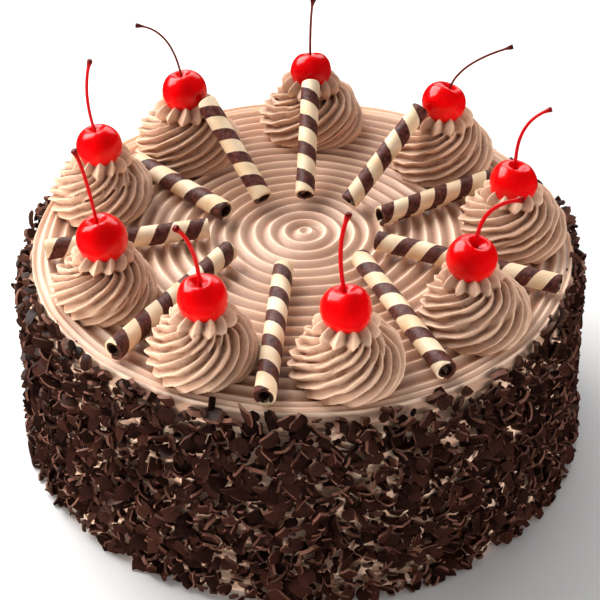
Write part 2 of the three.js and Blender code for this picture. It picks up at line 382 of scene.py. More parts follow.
# how many cells for speckles lie along a metre, and a speckle's radius as a share of its cell
SPECKLE_SCALE = 95
SPECKLE_SIZE = 0.035
SPECKLE_COLOUR = srgb(105, 72, 56)
WAFER_BAKED = (srgb(226, 192, 148), srgb(249, 230, 200))
WAFER_STRIPE = (srgb(54, 20, 16), srgb(120, 66, 56))
# painted shade: the sheet's inner turns, inside the roll, are painted dark for the shade in its bore
WAFER_INSIDE_SHADE = srgb(64, 38, 30)
# from this turn on, the rolled sheet lies inside the roll
WAFER_INNER_TURN = 1.12


def painted_comb_light(surface):
    """Painted light where the comb left its crests, and painted shade in its troughs."""
    # painted light and shade: the tone follows each point's height in the comb
    return surface.ramp(surface.attribute("painted_comb_tone"), (0.12, 0.14), (0.75, 0.79))


def painted_piping_light(surface):
    """Painted light where the piping curves outwards, and painted shade where it curves in."""
    curve = surface.node("ShaderNodeNewGeometry").outputs["Pointiness"]
    return surface.ramp(curve, (0.44, 0.08), (0.54, 0.78))


def speckles(surface, share):
    """Small dots of chocolate in a share of the cells."""
    cells = surface.node("ShaderNodeTexVoronoi")
    cells.inputs["Scale"].default_value = SPECKLE_SCALE
    surface.link(surface.place(), cells.inputs["Vector"])
    near = surface.math("LESS_THAN", cells.outputs["Distance"], SPECKLE_SIZE)
    some = surface.math("GREATER_THAN", cells.outputs["Color"], 1 - share)
    return surface.math("MULTIPLY", near, some)


def cream_material(name, crests, light, dark, speckle_share):
    """Chocolate cream with fine pores, and painted light and shade: crests gives a tone, lit on the crests
    and shaded in the hollows, that runs from the dark colour to the light one.
    """
    surface = Surface(name)
    # painted light and shade from the crests, with a little random unevenness of tone
    tone = surface.math("MULTIPLY_ADD", surface.noise(55, detail=4), 0.12, crests(surface))
    colour = surface.ramp(tone, (0.1, dark), (0.85, light))
    colour = surface.mix(speckles(surface, speckle_share), colour, SPECKLE_COLOUR)
    pores = surface.bump(surface.noise(1400, detail=2), 0.05)
    normal = surface.bump(surface.noise(320, detail=3), 0.14, under=pores)
    rough = surface.ramp(surface.noise(240), (0.3, 0.4), (0.7, 0.52))
    return surface.finish(
        colour,
        rough,
        normal,
        Subsurface_Weight=0.12,
        Subsurface_Radius=(1.0, 0.5, 0.3),
        Subsurface_Scale=0.0015,
        Specular_IOR_Level=0.4,
    )


def chocolate_material(name, dark, light):
    """Dark chocolate, in the shade that each plate has of its own, with a light bloom in patches."""
    surface = Surface(name)
    colour = surface.ramp(surface.attribute("shade"), (0.0, dark), (1.0, light))
    bloom = surface.ramp(surface.noise(700, detail=4), (0.45, 0.0), (0.7, 0.35))
    colour = surface.mix(bloom, colour, light)
    normal = surface.bump(surface.noise(1600, detail=3), 0.06)
    rough = surface.ramp(surface.noise(500), (0.3, 0.38), (0.7, 0.55))
    return surface.finish(colour, rough, normal, Specular_IOR_Level=0.15)


def cherry_material():
    """Candied fruit: a strong red under a clear coat of syrup."""
    surface = Surface("candied_cherry")
    colour = surface.ramp(surface.noise(130, detail=2), (0.3, srgb(214, 0, 2)), (0.7, srgb(234, 0, 5)))
    normal = surface.bump(surface.noise(260, detail=2), 0.05)
    return surface.finish(
        colour,
        0.25,
        normal,
        Subsurface_Weight=0.2,
        Subsurface_Radius=(1.0, 0.05, 0.03),
        Subsurface_Scale=0.004,
        Specular_IOR_Level=0.12,
        Coat_Weight=0.45,
        Coat_Roughness=0.1,
    )


def stem_material(name, colour, tip):
    """Red at the fruit, and then one colour up to the tip: the UV map's height runs from 0 to 1."""
    surface = Surface(name)
    _, height = surface.uv()
    foot = srgb(200, 0, 8)
    tone = surface.ramp(height, (0.0, foot), (0.12, colour), (0.9, colour), (0.99, tip))
    normal = surface.bump(surface.noise(900, detail=3), 0.08)
    return surface.finish(tone, 0.35, normal, Specular_IOR_Level=0.2, Coat_Weight=0.15)


def wafer_material():
    """Left-handed stripes: the UV map holds turns round the roll, and stripe pitches along it."""
    surface = Surface("striped_wafer")
    turn, along = surface.uv()
    fibre = surface.noise(500, detail=4, roughness=0.6)
    place = surface.math("ADD", turn, along)
    wavy = surface.math("MULTIPLY_ADD", fibre, 0.05, place)
    across = surface.math("FRACT", wavy)
    end = WAFER_STRIPE_SHARE
    stripe = surface.ramp(across, (0.0, 0.0), (0.02, 1.0), (end, 1.0), (end + 0.02, 0.0))
    baked = surface.ramp(surface.noise(90, detail=5), (0.3, WAFER_BAKED[0]), (0.7, WAFER_BAKED[1]))
    dark = surface.ramp(fibre, (0.35, WAFER_STRIPE[0]), (0.75, WAFER_STRIPE[1]))
    colour = surface.mix(stripe, baked, dark)
    # painted shade on the sheet's inner turns, inside the roll
    inside = surface.math("GREATER_THAN", turn, WAFER_INNER_TURN)
    colour = surface.mix(inside, colour, WAFER_INSIDE_SHADE)
    grain = surface.bump(surface.noise(1500, detail=3), 0.07)
    normal = surface.bump(stripe, 0.12, under=grain)
    rough = surface.ramp(surface.noise(300), (0.3, 0.42), (0.7, 0.62))
    return surface.finish(colour, rough, normal, Specular_IOR_Level=0.3)


# each cream's two colours are its painted lit tone and its painted shaded tone
CREAM = cream_material("chocolate_cream", painted_piping_light, srgb(230, 193, 165), srgb(128, 76, 48), 0.5)
COMBED_CREAM = cream_material("combed_cream", painted_comb_light, srgb(250, 217, 192), srgb(142, 88, 57), 0.5)
# painted light: the side's cream is painted lighter than the top's to stand in for light in the shaded gaps
# between the flakes, with painted shade in its hollows
SIDE_CREAM_PAINTED_LIGHTER = cream_material("side_cream_painted_lighter", painted_piping_light, srgb(255, 218, 190), srgb(236, 184, 152), 0.3)
FLAKE_FACE = chocolate_material("flake_face", srgb(20, 9, 7), srgb(62, 33, 25))
# the plates' broken edges are lighter: partly the broken chocolate's own colour, partly painted light where
# the edges catch the light
FLAKE_EDGE_PARTLY_LIT = chocolate_material("flake_edge_partly_lit", srgb(60, 36, 28), srgb(126, 86, 72))
CHERRY = cherry_material()
STEM = stem_material("cherry_stem", srgb(196, 0, 10), srgb(104, 8, 8))
DRY_STEM = stem_material("dry_cherry_stem", srgb(98, 30, 22), srgb(60, 16, 12))
WAFER = wafer_material()

# ---------------------------------------------------------------- the cake's cream

CAKE_COLUMNS = 240
WALL_ROWS = 34
# the rings of the side start this high over the table, and lie this far inside the wall's line
WALL_START = 1.5
WALL_INSET = 0.6
# size, wavelength and seed of the side's ripples, which fade out below a height
SMALL_SWELL = (1.1, 9, 1)
LARGE_SWELL = (0.8, 23, 2)
SWELL_FADE_HEIGHT = 6
# the same for the hand that held the comb: how it shook, how hard it pressed, and how it rose and fell
SHAKE = (0.4, 34, 3)
PRESSURE = (0.16, 21, 4)
RISE_AND_FALL = (0.16, 30, 5)
# the shaking fades out within this distance from the comb's centre
SHAKE_FADE_RADIUS = 20
# the combed cream lies this far below the crests' nominal height
COMBED_DROP = 0.2
# half a groove, from a crest to the middle of the trough, as shares of the pitch: closer where it bends most
HALF_GROOVE = np.array([0, 0.03, 0.07, 0.12, 0.19, 0.3, 0.42])
DIMPLE_RADII = [COMB_FIRST, 2.6, 2.1, 1.5, 0.8]


def wall_radius(z):
    """The side's distance from the axis at a height."""
    return SIDE_RADIUS_FOOT + (SIDE_RADIUS_TOP - SIDE_RADIUS_FOOT) * z / CAKE_HEIGHT


def comb_height(radius):
    """Height over the crests at a distance from the comb's centre: rounded crests, broader troughs."""
    if radius <= COMB_FIRST:
        return -DIMPLE_DEPTH * (1 - (radius / COMB_FIRST) ** 2)
    place = (radius - COMB_FIRST) / COMB_PITCH
    if radius > RIM_RADIUS - COMB_PITCH:
        # the comb's last tooth only just cut the rim: two shallow grooves in place of a deep one
        return -RIM_GROOVE_DEPTH * math.sin(math.pi * place * 2) ** 2
    from_crest = abs(place - round(place))
    return -COMB_DEPTH * (1 - 1 / (1 + (from_crest / CREST_WIDTH) ** 2))


def wall_rings(angle):
    """The side, uneven under the flakes, and a true circle at the foot."""
    rings = []
    for z in [0.0, *np.linspace(WALL_START, CAKE_HEIGHT - SHOULDER_DROP, WALL_ROWS)]:
        radius = wall_radius(z) - WALL_INSET
        ring = polar(radius, angle, z)
        swell = ripple(ring, *SMALL_SWELL) + ripple(ring, *LARGE_SWELL)
        rings.append(polar(radius + swell * min(1, z / SWELL_FADE_HEIGHT), angle, z))
    return rings


def comb_ring(radius, angle):
    """One ring of the combed top: round the comb's centre inside, round the cake's axis at the rim."""
    inwards = 1 - radius / RIM_RADIUS
    ring = polar(radius, angle, CAKE_HEIGHT)
    ring[:, :2] += np.array(COMB_CENTRE) * inwards
    shake = ripple(ring, *SHAKE) * min(1, radius / SHAKE_FADE_RADIUS)
    # it shook less at the rim
    ring[:, :2] += polar(1, angle, 0)[:, :2] * shake[:, None] * min(1, inwards * 12 + 0.3)
    pressure = 1 + ripple(ring, *PRESSURE)
    ring[:, 2] += comb_height(radius) * pressure + ripple(ring, *RISE_AND_FALL) - COMBED_DROP
    return ring


def cake_cream():
    angle = round_angles(CAKE_COLUMNS)
    rings = wall_rings(angle)
    rings.extend(polar(radius, angle, z) for radius, z in SHOULDER)
    ring_painted_tones = [SHOULDER_PAINTED_TONE] * len(rings)

    groove = [*HALF_GROOVE, 0.5, *(1 - HALF_GROOVE[:0:-1])]
    crests = round((RIM_RADIUS - COMB_FIRST) / COMB_PITCH)
    steps = [crest - offset for crest in range(crests, 0, -1) for offset in groove]
    radii = [COMB_FIRST + COMB_PITCH * step for step in steps] + DIMPLE_RADII
    rings.extend(comb_ring(radius, angle) for radius in radii)
    # painted light and shade: a ring's tone follows its height, lit on the crests and shaded in the troughs
    ring_painted_tones.extend(max(0, 1 + comb_height(radius) / COMB_DEPTH) for radius in radii)

    points, faces = closed_skin(np.array(rings))
    piece = make_piece("cake_cream", points, faces, [COMBED_CREAM, SIDE_CREAM_PAINTED_LIGHTER], "cake")
    middles = [SHOULDER_PAINTED_TONE, ring_painted_tones[-1]]
    write_attribute(piece, "painted_comb_tone", np.concatenate([np.repeat(ring_painted_tones, CAKE_COLUMNS), middles]))
    heights = np.array([points[face].mean(axis=0)[2] for face in faces])
    on_side = heights < CAKE_HEIGHT - SHOULDER_DROP
    piece.data.polygons.foreach_set("material_index", on_side.astype(int))


# ---------------------------------------------------------------- chocolate flakes

FLAKE_SHARP_DEGREES = 40
# the outline of a plate: 0 for a rectangle and 1 for an oval
ROUNDNESS = (0.2, 0.95)
# how much one end is wider than the middle, and how the plate twists
TAPER = (-0.3, 0.3)
TWIST = (-0.06, 0.06)
# how far the points stray, as shares of the length and of the width, and how much thinner the edges are
RAGGED_LENGTH = 0.035
RAGGED_WIDTH = 0.03
EDGE_THINNING = 0.35
# a plate's length and thickness as shares of its kind's
LENGTH_SHARE = (0.65, 1.4)
THICKNESS_SHARE = (0.6, 1.4)
# its width as a share of its own length, made less by its kind's slimness
WIDTH_SHARE = (0.5, 0.95)
CURL_RADIUS = (4, 14)
# the flakes stay this far inside the solid cake's widest flakes, and this much further at the crests' height
REACH_MARGIN = 0.3
REACH_LOSS_AT_TOP = 4
# and this much further on the right, which starts at a height and takes another height to come in full
REACH_LOSS_TO_RIGHT = 3
REACH_LOSS_START = 12
REACH_LOSS_RISE = 20
# no flake lies lower than this
LOWEST = 0.2


def plate(random, across, along, length, width, thickness, curl):
    """Points of one curved, broken plate round the origin, lying in XY: its upper and then its lower side.

    Its outline lies between a rectangle and an oval, it tapers, and its edges are ragged and thinner.
    """
    a, b = np.meshgrid(np.linspace(-1, 1, along), np.linspace(-1, 1, across))
    roundness = random.uniform(*ROUNDNESS)
    x = a * np.sqrt(1 - roundness * b**2 / 2)
    y = b * np.sqrt(1 - roundness * a**2 / 2)
    x = x * length / 2 + random.normal(0, RAGGED_LENGTH * length, a.shape)
    taper = random.uniform(*TAPER)
    y = y * width / 2 * (1 + taper * a) + random.normal(0, RAGGED_WIDTH * width, a.shape)
    twist = random.uniform(*TWIST)
    z = -(x**2) / (2 * curl) + twist * x * y
    half = thickness / 2 * (1 - EDGE_THINNING * np.maximum(np.abs(a), np.abs(b)))
    tilt = x / curl
    shift = np.stack([half * np.sin(tilt), 0 * half, half * np.cos(tilt)], axis=-1)
    middle = np.stack([x, y, z], axis=-1)
    return np.concatenate([(middle + shift).reshape(-1, 3), (middle - shift).reshape(-1, 3)])


def plate_faces(across, along):
    """Faces of a plate and, for each, whether it is a broken edge."""
    count = across * along
    faces = []
    for row in range(across - 1):
        for column in range(along - 1):
            corner = row * along + column
            upper = [corner, corner + 1, corner + along + 1, corner + along]
            faces.append((upper, 0))
            faces.append(([index + count for index in reversed(upper)], 0))
    loop = [*range(along - 1)]
    loop += [row * along + along - 1 for row in range(across - 1)]
    loop += [(across - 1) * along + column for column in range(along - 1, 0, -1)]
    loop += [row * along for row in range(across - 1, 0, -1)]
    for here, there in zip(loop, loop[1:] + loop[:1]):
        faces.append(([here, here + count, there + count, there], 1))
    return [face for face, _ in faces], [edge for _, edge in faces]


def rosette_centre(i):
    """The middle of a rosette's foot."""
    angle = math.radians(ROSETTES[i].angle)
    distance = ROSETTES[i].distance
    return np.array([distance * math.cos(angle), distance * math.sin(angle), CAKE_HEIGHT])


def flake_place(random, kind, angle, share):
    """Height and distance from the axis of a flake, and whether it is one of those along the front rim."""
    facing_front = -math.sin(angle)
    if random.random() < kind.rim_share and facing_front > RIM_FLAKE_FACING:
        return CAKE_HEIGHT - random.uniform(*RIM_FLAKE_DROP), random.uniform(*RIM_FLAKE_RADIUS), True
    top = CAKE_HEIGHT - FLAKES_DROP
    z = FLAKES_FOOT + share * (top - FLAKES_FOOT)
    spread = FOOT_SPREAD * max(0, 1 - z / FOOT_SPREAD_HEIGHT)
    return z, wall_radius(z) + random.uniform(*kind.depth) + spread, False


def flake_reach(angle, z):
    """How far out a flake may stand: less towards the rim, and less to the right above the foot."""
    to_right = max(0, math.cos(angle))
    above_foot = min(1, max(0, z - REACH_LOSS_START) / REACH_LOSS_RISE)
    at_height = REACH_LOSS_AT_TOP * z / CAKE_HEIGHT
    return WIDEST - REACH_MARGIN - at_height - REACH_LOSS_TO_RIGHT * to_right * above_foot


def flake(random, kind, angle, share):
    """Points of one plate, pressed into the side at an angle and at a share of its height."""
    z, radius, on_rim = flake_place(random, kind, angle, share)
    length = kind.size * random.uniform(*LENGTH_SHARE)
    width = length * kind.slimness * random.uniform(*WIDTH_SHARE)
    thickness = kind.thickness * random.uniform(*THICKNESS_SHARE) * (RIM_FLAKE_THICKER if on_rim else 1)
    curl = random.uniform(*CURL_RADIUS)
    points = plate(random, kind.across, kind.along, length, width, thickness, curl)
    points = turned(points, (0, 0, 1), random.uniform(0, TAU))
    for axis in ((1, 0, 0), (0, 1, 0)):
        points = turned(points, axis, random.normal(0, kind.tipping))
    # the plate's own Z points out of the wall
    outward = np.array([math.cos(angle), math.sin(angle), 0])
    sideways = np.array([-math.sin(angle), math.cos(angle), 0])
    points = points @ np.array([sideways, [0, 0, 1], outward]) + outward * radius + [0, 0, z]
    points[:, 2] += max(0, LOWEST - points[:, 2].min())
    reach = np.hypot(points[:, 0], points[:, 1]).max()
    return points - outward * max(0, reach - flake_reach(angle, z))


def meets_rosette(points):
    """Whether a flake that rises to the crests would come too near a rosette."""
    if points[:, 2].max() <= CAKE_HEIGHT - NEAR_CRESTS:
        return False
    middle = points[:, :2].mean(axis=0)
    gaps = [math.dist(middle, rosette_centre(i)[:2]) - rosette.radius for i, rosette in enumerate(ROSETTES)]
    return min(gaps) < ROSETTE_CLEARANCE


def scatter(name, kind):
    """One piece of many plates pressed into the side."""
    random = np.random.default_rng(kind.seed)
    plate_skin, edges = plate_faces(kind.across, kind.along)
    plate_points = 2 * kind.across * kind.along
    flakes, shades = [], []
    for i in range(kind.plates):
        angle = (i * GOLDEN_ANGLE + random.normal(0, 0.01)) % TAU
        points = flake(random, kind, angle, (i + 0.5) / kind.plates)
        if meets_rosette(points):
            continue
        flakes.append(points)
        shades.append(random.random())
    faces = np.concatenate([np.array(plate_skin) + plate_points * i for i in range(len(flakes))]).tolist()
    points = np.concatenate(flakes)
    materials = [FLAKE_FACE, FLAKE_EDGE_PARTLY_LIT]
    piece = make_piece(name, points, faces, materials, "cake", FLAKE_SHARP_DEGREES)
    piece.data.polygons.foreach_set("material_index", np.tile(edges, len(flakes)))
    write_attribute(piece, "shade", np.repeat(shades, plate_points))


# ---------------------------------------------------------------- rosettes

# the piped rope: turns so far as a share, distance from the middle as a share of the base radius,
# height as a share of the rosette's, and rope radius as a share of the base radius
ROPE_COURSE = np.array(
    [
        (0.00, 0.54, 0.08, 0.22),
        (0.06, 0.60, 0.14, 0.36),
        (0.28, 0.61, 0.18, 0.41),
        (0.44, 0.60, 0.25, 0.42),
        (0.58, 0.51, 0.38, 0.41),
        (0.72, 0.45, 0.49, 0.40),
        (0.88, 0.38, 0.54, 0.39),
        (1.00, 0.20, 0.56, 0.36),
    ]
)
ROPE_SEED = 100
ROPE_STEPS = 190
ROPE_SMOOTHING = 13
# how far the rope sways from its course, as a share of its distance from the middle
ROPE_SWAY = 0.025
# how deep the nozzle's star cuts in, as a share of its reach
NOZZLE_DEPTH = 0.36
STAR_COLUMNS_PER_TOOTH = 8

# the crown that holds the cherry: height and radius as shares of the rosette's height and base radius
CROWN_COURSE = np.array(
    [
        (0.60, 0.24),
        (0.74, 0.40),
        (0.82, 0.54),
        (0.87, 0.58),
        (0.93, 0.585),
        (1.01, 0.55),
        (1.08, 0.48),
        (1.12, 0.41),
        (1.12, 0.37),
        (1.02, 0.33),
        (0.85, 0.24),
    ]
)
CROWN_SEED = 200
CROWN_STEPS = 46
CROWN_TEETH = 12
CROWN_UNEVENNESS = 0.035
CROWN_SMOOTHING = 9
# the valleys between the crown's teeth: how far they cut in, as a share of the base radius,
# and how steeply they drop above a share of the rosette's height
CROWN_CUT = 0.15
CROWN_NOTCH = 10
CROWN_NOTCH_FROM = 0.85
# how far the teeth wind round for each height of the rosette, and where they stand straight over their start
CROWN_TWIST = 0.5
CROWN_TWIST_FROM = 0.9

# how a rosette's shells are joined: size of the cells, rounds of softening, and the share of faces kept
ROSETTE_CELL = 0.45
ROSETTE_SOFTENING = 3
ROSETTE_FACES_KEPT = 0.3
# how far a rosette's cream sinks into the comb's grooves
ROSETTE_SINK = 1.2
# the size and wavelength of its ripples, and the first one's seed
ROSETTE_RIPPLE = (0.22, 9)
ROSETTE_SEED = 300


def star(teeth, depth):
    """Angles round a piping nozzle's star, and the star's radius there as a share of its reach."""
    tooth = np.arange(teeth * STAR_COLUMNS_PER_TOOTH) / STAR_COLUMNS_PER_TOOTH
    return TAU * tooth / teeth, 1 - depth * np.abs(2 * ((tooth + 0.5) % 1) - 1)


def smoothed(values):
    """Running means, with the ends held."""
    width = ROPE_SMOOTHING
    return np.convolve(np.pad(values, width // 2, mode="edge"), np.ones(width) / width, mode="valid")


def swirl_rope(i):
    """Rings of the rope that winds up to the crown, each one the nozzle's star."""
    piped = ROSETTES[i]
    random = np.random.default_rng(ROPE_SEED + i)
    share = np.linspace(0, 1, ROPE_STEPS)
    out, up, thick = (smoothed(np.interp(share, ROPE_COURSE[:, 0], ROPE_COURSE[:, k])) for k in (1, 2, 3))
    angle = math.radians(piped.start) + TAU * piped.turns * share
    sway = 1 + ROPE_SWAY * np.sin(3 * angle + random.uniform(0, TAU))
    path = polar(out * piped.radius * sway, angle, 0)
    path[:, 2] = up * ROSETTE_HEIGHT * piped.radius
    along = unit(np.gradient(path, axis=0))
    nozzle_angle, nozzle = star(piped.ridges, NOZZLE_DEPTH)
    rings = []
    for point, tangent, size, wound in zip(path, along, thick * piped.radius, angle):
        # the nozzle points down, so the star bends over towards the way it is moved, and may twist
        section = polar(size * nozzle, nozzle_angle + piped.twist * wound, 0) @ upright_to(tangent).T
        rings.append(point + section)
    return np.array(rings)


def uneven_teeth(i, columns):
    """How far out each tooth of a crown stands, nearly 1, with soft steps from tooth to tooth."""
    random = np.random.default_rng(CROWN_SEED + i)
    teeth = np.repeat(random.normal(1, CROWN_UNEVENNESS, CROWN_TEETH), columns // CROWN_TEETH)
    three_rounds = np.concatenate([teeth] * 3)
    soft = np.convolve(three_rounds, np.ones(CROWN_SMOOTHING) / CROWN_SMOOTHING, mode="same")
    return soft[columns : 2 * columns]


def crown(i):
    """Rings of the toothed crown, which leans to where the cherry sits."""
    radius = ROSETTES[i].radius
    start = math.radians(ROSETTES[i].start)
    seat = cherry_centre(i) - rosette_centre(i)
    angle, roof = star(CROWN_TEETH, 1)
    valley = 1 - roof
    teeth = uneven_teeth(i, len(angle))
    rings = []
    places = range(len(CROWN_COURSE))
    for place in np.linspace(0, places[-1], CROWN_STEPS):
        height = np.interp(place, places, CROWN_COURSE[:, 0])
        width = np.interp(place, places, CROWN_COURSE[:, 1])
        wound = angle + start + CROWN_TWIST * (height - CROWN_TWIST_FROM)
        ring = polar(radius * (width * teeth - CROWN_CUT * valley), wound, ROSETTE_HEIGHT * radius * height)
        ring[:, :2] += seat[:2] * height
        ring[:, 2] -= CROWN_NOTCH * valley * max(0, height - CROWN_NOTCH_FROM)
        rings.append(ring)
    return np.array(rings)


def join_and_soften(piece):
    """Joins a rosette's overlapping shells into one skin and softens it as cream does."""
    remesh = piece.modifiers.new("join", "REMESH")
    remesh.mode = "VOXEL"
    remesh.voxel_size = ROSETTE_CELL * MM
    relax = piece.modifiers.new("relax", "SMOOTH")
    relax.factor = 0.5
    relax.iterations = ROSETTE_SOFTENING
    thin = piece.modifiers.new("thin", "DECIMATE")
    thin.ratio = ROSETTE_FACES_KEPT
    bpy.context.view_layer.update()
    shaped = piece.evaluated_get(bpy.context.evaluated_depsgraph_get())
    joined = bpy.data.meshes.new_from_object(shaped)
    joined.shade_smooth()
    piece.modifiers.clear()
    old, piece.data = piece.data, joined
    bpy.data.meshes.remove(old)


def rosette(i):
    rope_points, rope_faces = closed_skin(swirl_rope(i))
    crown_points, crown_faces = closed_skin(crown(i))
    faces = rope_faces + [[index + len(rope_points) for index in face] for face in crown_faces]
    points = np.vstack([rope_points, crown_points])
    points[:, 2] = np.maximum(points[:, 2], -ROSETTE_SINK)
    points += ripple(points + 50 * i, *ROSETTE_RIPPLE, ROSETTE_SEED + i)[:, None]
    points += rosette_centre(i)
    node = f"rosette_{i + 1}"
    piece = make_piece(f"{node}_cream", points, faces, [CREAM], node)
    join_and_soften(piece)


# ---------------------------------------------------------------- cherries

CHERRY_COLUMNS = 72
CHERRY_ROWS = 46
# shares of a cherry's radius: half its height, the depth and width of the hollow round the stem,
# the depth and width of the one underneath, and the depth of the crease down one side
CHERRY_HEIGHT = 0.93
HOLLOW_DEPTH = 0.36
HOLLOW_WIDTH = 0.3
UNDERSIDE_DEPTH = 0.07
UNDERSIDE_WIDTH = 0.22
CREASE_DEPTH = 0.035
# the size and wavelength of a cherry's ripples, and the first one's seed
CHERRY_RIPPLE = (0.18, 14)
CHERRY_SEED = 400
# how high the stem's foot lies over the cherry's middle, and how much more its bend and tip are raised,
# as shares of the cherry's radius
STEM_FOOT = 0.5
STEM_RISE = 0.22
STEM_COLUMNS = 14
STEM_ROWS = 40


def cherry_centre(i):
    return rosette_centre(i) + [0, 0, CHERRY_SEAT * ROSETTES[i].radius] + np.array(CHERRIES[i].shift)


def cherry_lean(i):
    """The turn that leans a cherry, as a matrix."""
    to_right, to_front = (math.radians(value) for value in CHERRIES[i].lean)
    return upright_to((math.sin(to_right), -math.sin(to_front), math.cos(to_right) * math.cos(to_front)))


def cherry_profile(latitude):
    """Distance from the cherry's axis and height at a latitude, as shares of its radius."""
    across = math.cos(latitude) ** 0.86
    up = CHERRY_HEIGHT * math.sin(latitude)
    if latitude > 0:
        # the cherry is a little fuller above, round the hollow where the stem stands
        up -= HOLLOW_DEPTH * math.exp(-((across / HOLLOW_WIDTH) ** 2)) - 0.05 * across
    else:
        up += UNDERSIDE_DEPTH * math.exp(-((across / UNDERSIDE_WIDTH) ** 2))
    return across, up


def cherry(i):
    radius = CHERRIES[i].radius
    angle = round_angles(CHERRY_COLUMNS)
    crease = 1 - CREASE_DEPTH * np.exp(-(((angle - 1.3 * i) % TAU - math.pi) ** 2) / 0.12)
    rings = []
    for latitude in np.linspace(-math.pi / 2 + 0.06, math.pi / 2 - 0.03, CHERRY_ROWS):
        across, up = cherry_profile(latitude)
        rings.append(polar(radius * across * crease, angle, radius * up))
    points, faces = closed_skin(np.array(rings))
    points += ripple(points + 20 * i, *CHERRY_RIPPLE, CHERRY_SEED + i)[:, None] * points / radius
    points = points @ cherry_lean(i).T + cherry_centre(i)
    node = f"cherry_{i + 1}"
    make_piece(f"{node}_fruit", points, faces, [CHERRY], node)


def stem_path(i):
    """The middle line of a stem, from inside its cherry's hollow over its bend to its tip."""
    radius = CHERRIES[i].radius
    foot = cherry_lean(i) @ [0, 0, STEM_FOOT * radius]
    rise = cherry_lean(i) @ [0, 0, STEM_RISE * radius]
    bend, tip = rise + CHERRIES[i].bend, rise + CHERRIES[i].tip
    share = np.linspace(0, 1, STEM_ROWS)[:, None]
    return 2 * share * (1 - share) * bend + share**2 * tip + foot


def stem_thickness(length, slim):
    """The stem's radius at each length along it: a little more at the foot, and a knob at the tip."""
    knob = np.clip((length - (length[-1] - STEM_KNOB_LENGTH)) / STEM_KNOB_LENGTH, 0, 1)
    foot = np.clip(1 - length / STEM_FOOT_LENGTH, 0, 1)
    thickness = slim * (1 + STEM_FOOT_THICKER * foot) + (STEM_KNOB_RADIUS - slim) * knob**1.6
    # the tip is rounded off
    thickness[-1] *= 0.75
    return thickness


def stem(i):
    dry = i in DRY_STEMS
    path = stem_path(i)
    step = np.linalg.norm(np.diff(path, axis=0), axis=1)
    length = np.concatenate([[0], np.cumsum(step)])
    thickness = stem_thickness(length, STEM_RADIUS * (DRY_STEM_SHARE if dry else 1))
    along = unit(np.gradient(path, axis=0))
    side = unit(np.cross(along, [0, 1, 0.2]))
    other = np.cross(along, side)
    angle = round_angles(STEM_COLUMNS)
    wavy = 1 + 0.1 * np.sin(2 * angle + i)
    rings = path[:, None] + thickness[:, None, None] * wavy[None, :, None] * (
        np.cos(angle)[None, :, None] * side[:, None] + np.sin(angle)[None, :, None] * other[:, None]
    )
    points, faces = closed_skin(rings)
    points = points + cherry_centre(i)
    material = DRY_STEM if dry else STEM
    node = f"cherry_{i + 1}"
    piece = make_piece(f"{node}_stem", points, faces, [material], node)
    heights = np.concatenate([np.repeat(length / length[-1], STEM_COLUMNS), [0, 1]])
    write_uv(piece, 0 * heights, heights)


# ---------------------------------------------------------------- wafer rolls

WAFER_COLUMNS_PER_TURN = 36
WAFER_ROWS = 30
WAFER_SHARP_DEGREES = 35
# the bevel at both ends: how long it is, and how far it goes in as a share of the radius
WAFER_BEVEL = 0.25
WAFER_BEVEL_SHARE = 0.02
# the size of a roll's ripples, as a share of the radius, and their wavelength and seed
WAFER_RIPPLE = (0.012, 16, 500)
# where the sheet's outer edge lies, in degrees from the side,
# and how far it moves on from roll to roll, in rounds of so many rolls
WAFER_EDGE = -115
WAFER_EDGE_STEP = 12
WAFER_EDGE_ROUND = 5


def wafer_section(rolled):
    """The rolled sheet seen from its end: a spiral strip from the outside in, and back along its inner face.

    Gives the strip's points, turned round by an angle, and how many turns the sheet has made there.
    """
    turn = np.linspace(0, WAFER_LAYERS, WAFER_LAYERS * WAFER_COLUMNS_PER_TURN + 1)
    outer = WAFER_RADIUS - WAFER_LAYER_PITCH * turn
    inner = outer - WAFER_SHEET_SHARE * WAFER_LAYER_PITCH
    turns = np.concatenate([turn, turn[::-1]])
    radius = np.concatenate([outer, inner[::-1]])
    x = radius * np.cos(TAU * turns)
    y = radius * np.sin(TAU * turns)
    across = x * math.cos(rolled) - y * math.sin(rolled)
    up = x * math.sin(rolled) + y * math.cos(rolled)
    return across, up, turns


def wafer_ends(i):
    """The middles of a roll's two ends, where it lies on the comb's crests or leans on a rosette."""
    roll = WAFERS[i]
    end_height = roll.lean or WAFER_RADIUS
    run = math.dist(roll.inner, roll.outer)
    # a leaning roll stands on the lower edge of its inner end
    standing = WAFER_RADIUS * math.cos(math.atan2(end_height - WAFER_RADIUS, run))
    start = np.array([*roll.inner, CAKE_HEIGHT + TOUCH_GAP + standing])
    end = np.array([*roll.outer, CAKE_HEIGHT + TOUCH_GAP + end_height])
    return start, end


def end_caps(rows, columns):
    """Faces that close both ends of the rolled strip, between its outer and its inner face."""
    faces = []
    for column in range(columns // 2 - 1):
        strip = [column, columns - 1 - column, columns - 2 - column, column + 1]
        faces.append(strip)
        faces.append([index + (rows - 1) * columns for index in reversed(strip)])
    return faces


